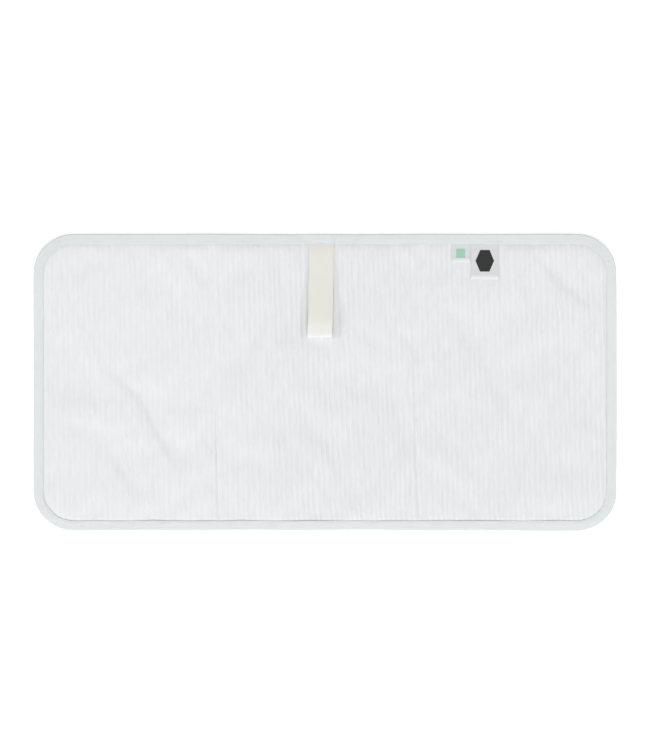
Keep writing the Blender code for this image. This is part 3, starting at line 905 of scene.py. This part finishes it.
# The loop's side view in millimetres: distance down the mat from its root, and height
LOOP_UNDER_TAPE = [(-9.0, 4.08), (-5.5, 4.12), (-4.4, 4.36), (-3.0, 4.92)]
LOOP_OUT = [(0.5, 5.32), (4.5, 5.60), (9.0, 5.88), (16.0, 6.10), (60.0, 6.25), (101.0, 6.40)]
LOOP_BEND = [(107.2, 7.20), (109.1, 9.20), (108.3, 11.40), (105.4, 12.75), (99.5, 13.60), (93.5, 14.02)]
LOOP_BACK = [(86.0, 13.70), (72.0, 12.45), (56.0, 10.95), (40.0, 9.50), (26.0, 8.30), (16.0, 7.55)]
LOOP_IN = [(9.0, 7.00), (4.5, 6.52), (0.5, 6.04), (-3.0, 5.42), (-4.4, 4.87), (-5.5, 4.63), (-9.0, 4.60)]
ELASTIC_THICKNESS, ELASTIC_SEWN_THICKNESS = 0.85 * MM, 0.45 * MM


def loop_piece():
    """One strip of elastic: in under the tape, out along the face, round the bend and back above itself."""
    line = smooth_line(LOOP_UNDER_TAPE + LOOP_OUT + LOOP_BEND + LOOP_BACK + LOOP_IN, 340)
    side = np.stack([LOOP_ROOT - line[:, 0] * MM, line[:, 1] * MM], axis=-1)
    free = ease((line[:, 0] + 1.0) / 12.0)
    thickness = ELASTIC_SEWN_THICKNESS + (ELASTIC_THICKNESS - ELASTIC_SEWN_THICKNESS) * free

    def x_of(y, along):
        return LOOP_X + 0.0009 + 0.018 * (y - LOOP_ROOT) + 0.00025 * np.sin(along * 2.0 * math.pi / 0.047)

    return strap("closure_loop_elastic", side, LOOP_HALF, thickness, x_of, elastic, 41)


# A label's side view in the same way, down to where its own length and curl take over
LABEL_FLAT = [(-8.0, 4.10), (-4.5, 4.12), (-3.4, 4.34), (-2.0, 4.85), (0.0, 5.13), (3.0, 5.40), (6.5, 5.72)]
LABEL_CURL_START = (9.5, 5.88)


def label_line(length, curl):
    """A label's side view: out of the seam, flat along the face, then up and over to its folded end."""
    start, low = LABEL_CURL_START
    rise = [(start + (length - 14.5) * t, low + curl * t * t) for t in (0.45, 0.78, 1.0)]
    over = [(length - 2.4, 5.90 + 0.72 * curl), (length - 0.7, low + 0.20 * curl), (length, 5.80)]
    line = smooth_line(LABEL_FLAT + [LABEL_CURL_START] + rise + over, 110)
    return np.stack([LABEL_ROOT - line[:, 0] * MM, line[:, 1] * MM], axis=-1)


def label_piece(name, x_range, length, curl, look, skew):
    """A label's ribbon, thinned to its folded end, and its side view and x_of for the mark on it."""
    middle = (x_range[0] + x_range[1]) / 2
    half = (x_range[1] - x_range[0]) / 2
    line = label_line(length, curl)

    def x_of(y, along):
        return middle + skew * (y - LABEL_ROOT)

    taper = np.ones(len(line))
    taper[-6:] = np.sqrt(np.clip(1.0 - (np.arange(1, 7) / 6.2) ** 2, 0.05, 1.0))
    piece = strap(name, line, half, LABEL_THICKNESS * taper, x_of, look, 27)
    return piece, line, x_of


# How far a mark stands out of its label, at its two side edges and between them
MARK_EDGE, MARK_RAISED = 0.045 * MM, 0.080 * MM


def mark_piece(name, line, x_of, outline, look):
    """A plain filled shape woven into a label. Its outline is (half-width, distance down the label)."""
    halves, downs = np.array(outline).T
    down = np.linspace(downs.min(), downs.max(), 49)[:, None]
    across = np.linspace(-1.0, 1.0, 33)
    x = np.interp(down, downs, halves) * across
    along = lengths_along(line)
    y = np.interp(down, along, line[:, 0]) + 0.0 * x
    z = np.interp(down, along, line[:, 1])
    rim = np.minimum((1.0 - np.abs(across)) * 6.0, 1.0)
    z = z + LABEL_THICKNESS / 2 + MARK_EDGE + (MARK_RAISED - MARK_EDGE) * rim
    points = np.stack([x + x_of(y, down), y, z], axis=-1)
    uv = np.stack([x, np.broadcast_to(down, x.shape)], axis=-1)
    made = grid_mesh(name, points[:, ::-1], uv=uv[:, ::-1])
    made.data.materials.append(look)
    return made


# ---------------------------------------------------------------- build, and hide the CAD parts they stand for


def bend_over_fold(piece, side_name):
    """Bakes the piece's placement into its mesh, the same for either half."""
    if side_name == "left":
        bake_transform(piece)
    else:
        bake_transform(piece)


for side_name, side in (("left", -1.0), ("right", 1.0)):
    face = face_half(side, f"face_cloth_{side_name}")
    backing = backing_half(side, f"backing_cloth_{side_name}")
    wadding = wadding_half(side, f"wadding_{side_name}_half")
    tape = tape_half(side, f"binding_tape_{side_name}")
    upper = stitch_row(side, f"needle_stitches_{side_name}", True)
    lower = stitch_row(side, f"bobbin_stitches_{side_name}", False)
    for piece, slot in (
        (face, "ribbed_cotton"),
        (backing, "coated_backing"),
        (wadding, "polyester_wadding"),
        (tape, "binding_tape"),
        (upper, "needle_thread"),
        (lower, "bobbin_thread"),
    ):
        bend_over_fold(piece, side_name)
    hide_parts(f"face_{side_name}", "face_center")
    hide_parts(f"backing_{side_name}", "backing_center")
    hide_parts(f"wadding_{side_name}", "wadding_center")
    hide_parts(f"binding_{side_name}", "binding_top", "binding_bottom")
    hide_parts(f"needle_thread_{side_name}", "needle_thread_top", "needle_thread_bottom")
    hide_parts(f"bobbin_thread_{side_name}", "bobbin_thread_top", "bobbin_thread_bottom")

loop = loop_piece()
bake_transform(loop)
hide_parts("closure_loop", "loop_tail")

woven, woven_line, woven_x = label_piece(
    "woven_label_ribbon", WOVEN_X, WOVEN_LENGTH / MM, 0.85, label_satin, 0.012
)
care, care_line, care_x = label_piece("care_label_ribbon", CARE_X, CARE_LENGTH / MM, 0.62, care_satin, 0.0)
# The labels' plain marks: half-widths, each at a distance down the label
hexagon = [(0.0056, 0.0135), (0.0112, 0.0265), (0.0056, 0.0395)]
square = [(0.0054, 0.0120), (0.0054, 0.0228)]
dark_mark = mark_piece("woven_label_mark", woven_line, woven_x, hexagon, dark_yarn)
green_mark = mark_piece("care_label_mark", care_line, care_x, square, green_yarn)
for label, mark, body, flat in (
    (woven, dark_mark, "woven_label", (0.0327, 0.049)),
    (care, green_mark, "care_label", (0.0220, 0.029)),
):
    for piece in (label, mark):
        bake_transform(piece)
    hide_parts(body, f"{body}_tail")

# ---------------------------------------------------------------- floor, light and camera

FLOOR_REACH, FLOOR_DROP = 15.0, 0.0002
floor_x, floor_y = np.meshgrid([-FLOOR_REACH, FLOOR_REACH], [-FLOOR_REACH, FLOOR_REACH])
floor_points = np.stack([floor_x, floor_y, np.full((2, 2), -FLOOR_DROP)], axis=-1)
floor = grid_mesh("floor", floor_points, uv=floor_points[..., :2])
paper = Nodes("white_floor", (0.80, 0.80, 0.80), 0.9)
paper.shader.inputs["Emission Color"].default_value = (1.0, 1.0, 1.0, 1.0)
paper.shader.inputs["Emission Strength"].default_value = 0.42
floor.data.materials.append(paper.material)

world = bpy.data.worlds.new("studio")
bpy.context.scene.world = world
world.use_nodes = True
background = world.node_tree.nodes["Background"]
background.inputs["Color"].default_value = (0.985, 0.995, 1.0, 1.0)
background.inputs["Strength"].default_value = 0.36

# Each soft lamp: its strength, its lean from straight down, its turn about +Z, its width and its colour
LAMPS = {
    "front_softbox": (2.45, 50.0, 0.0, 22.0, (1.0, 0.995, 0.985)),
    "left_softbox": (0.62, 57.0, -90.0, 12.0, (1.0, 0.98, 0.955)),
    "right_softbox": (0.44, 49.0, 90.0, 12.0, (0.96, 0.98, 1.0)),
    "overhead_softbox": (0.35, 8.0, 0.0, 60.0, (1.0, 1.0, 1.0)),
}
for lamp_name, (strength, lean, turn, wide, colour) in LAMPS.items():
    lamp = bpy.data.lights.new(lamp_name, "SUN")
    lamp.energy = strength
    lamp.angle = math.radians(wide)
    lamp.color = colour
    placed = bpy.data.objects.new(lamp_name, lamp)
    placed.rotation_euler = (math.radians(lean), 0.0, math.radians(turn))
    bpy.context.scene.collection.objects.link(placed)

VIEW_HEIGHT = 0.9013
CAMERA_UP, CAMERA_Y = 3.0, 0.0087
SENSOR = 36.0
camera_data = bpy.data.cameras.new("camera")
camera_data.sensor_fit = "VERTICAL"
camera_data.sensor_height = SENSOR
camera_data.lens = SENSOR * CAMERA_UP / VIEW_HEIGHT
camera = bpy.data.objects.new("camera", camera_data)
camera.location = (0.0, CAMERA_Y, CAMERA_UP)
bpy.context.scene.collection.objects.link(camera)
bpy.context.scene.camera = camera
bpy.context.scene.view_settings.view_transform = "Standard"
